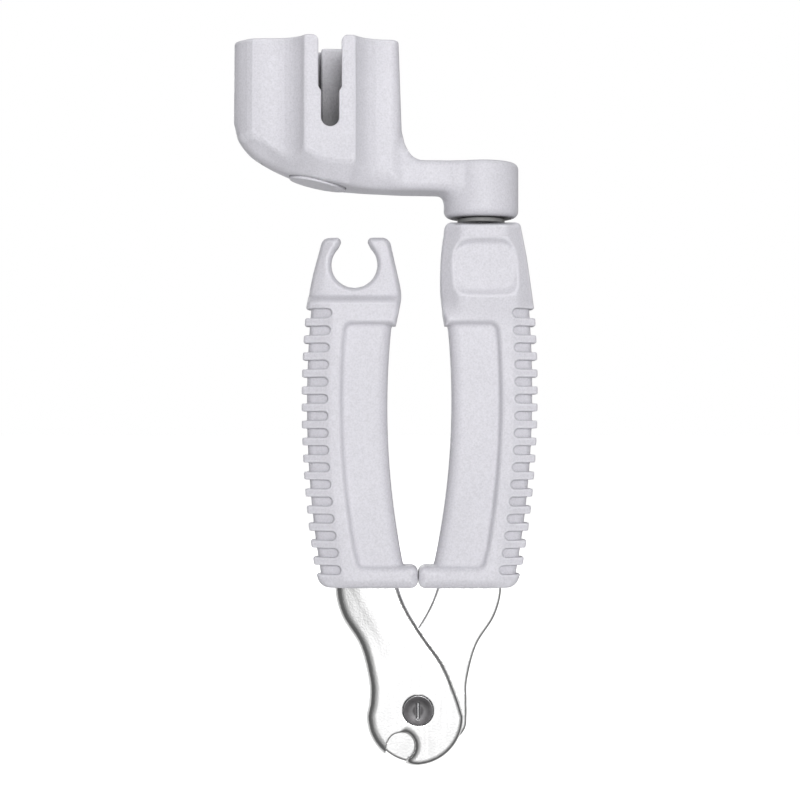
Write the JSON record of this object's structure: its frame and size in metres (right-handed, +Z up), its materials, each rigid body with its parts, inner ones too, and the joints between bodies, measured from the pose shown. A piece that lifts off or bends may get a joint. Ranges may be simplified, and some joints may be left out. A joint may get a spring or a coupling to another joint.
{
  "type": "guitar string winder",
  "caption": "Hand tool for stringed instruments: crank cup for tuning buttons, plier handles with a string cutter, and a notched bridge pin puller.",
  "frame": {"origin": "bottom centre of the box round the closed tool, level with the lowest point of the cutter heads", "axes": "+Z up along the tool towards the crank, +X to the handle that carries the crank, -Y towards the user who sees the slotted side of the cup"},
  "size_m": [0.0658, 0.0216, 0.1579],
  "materials": {
    "grip_plastic": "fine matte mould grain",
    "blade_chrome": "bright plating",
    "dark_steel": "blackened",
    "plain_steel": "plain",
    "dark_nylon": "smooth moulded"
  },
  "bodies": {
    "right_handle": {"right_grip": "grip_plastic", "right_blade": "blade_chrome", "pivot_screw": "dark_steel", "pivot_spring_washer": "plain_steel", "pivot_nut": "plain_steel", "crank_axle": "plain_steel", "axle_retaining_ring": "plain_steel", "axle_thrust_washer": "dark_nylon"},
    "left_handle": {"left_grip": "grip_plastic", "left_blade": "blade_chrome"},
    "crank": {"winder_crank": "grip_plastic", "cup_base_plug": "grip_plastic"}
  },
  "joints": [
    {"name": "crank_spin", "type": "hinge", "parent": "right_handle", "child": "crank", "pos_m": [0.02121, 0.00231, 0.124], "axis": [0, 0, 1], "continuous": true},
    {"name": "cutter_pivot", "type": "hinge", "parent": "right_handle", "child": "left_handle", "pos_m": [0.00736, 0.00231, 0.0121], "axis": [0, -1, 0], "range_deg": [0, 51]}
  ]
}
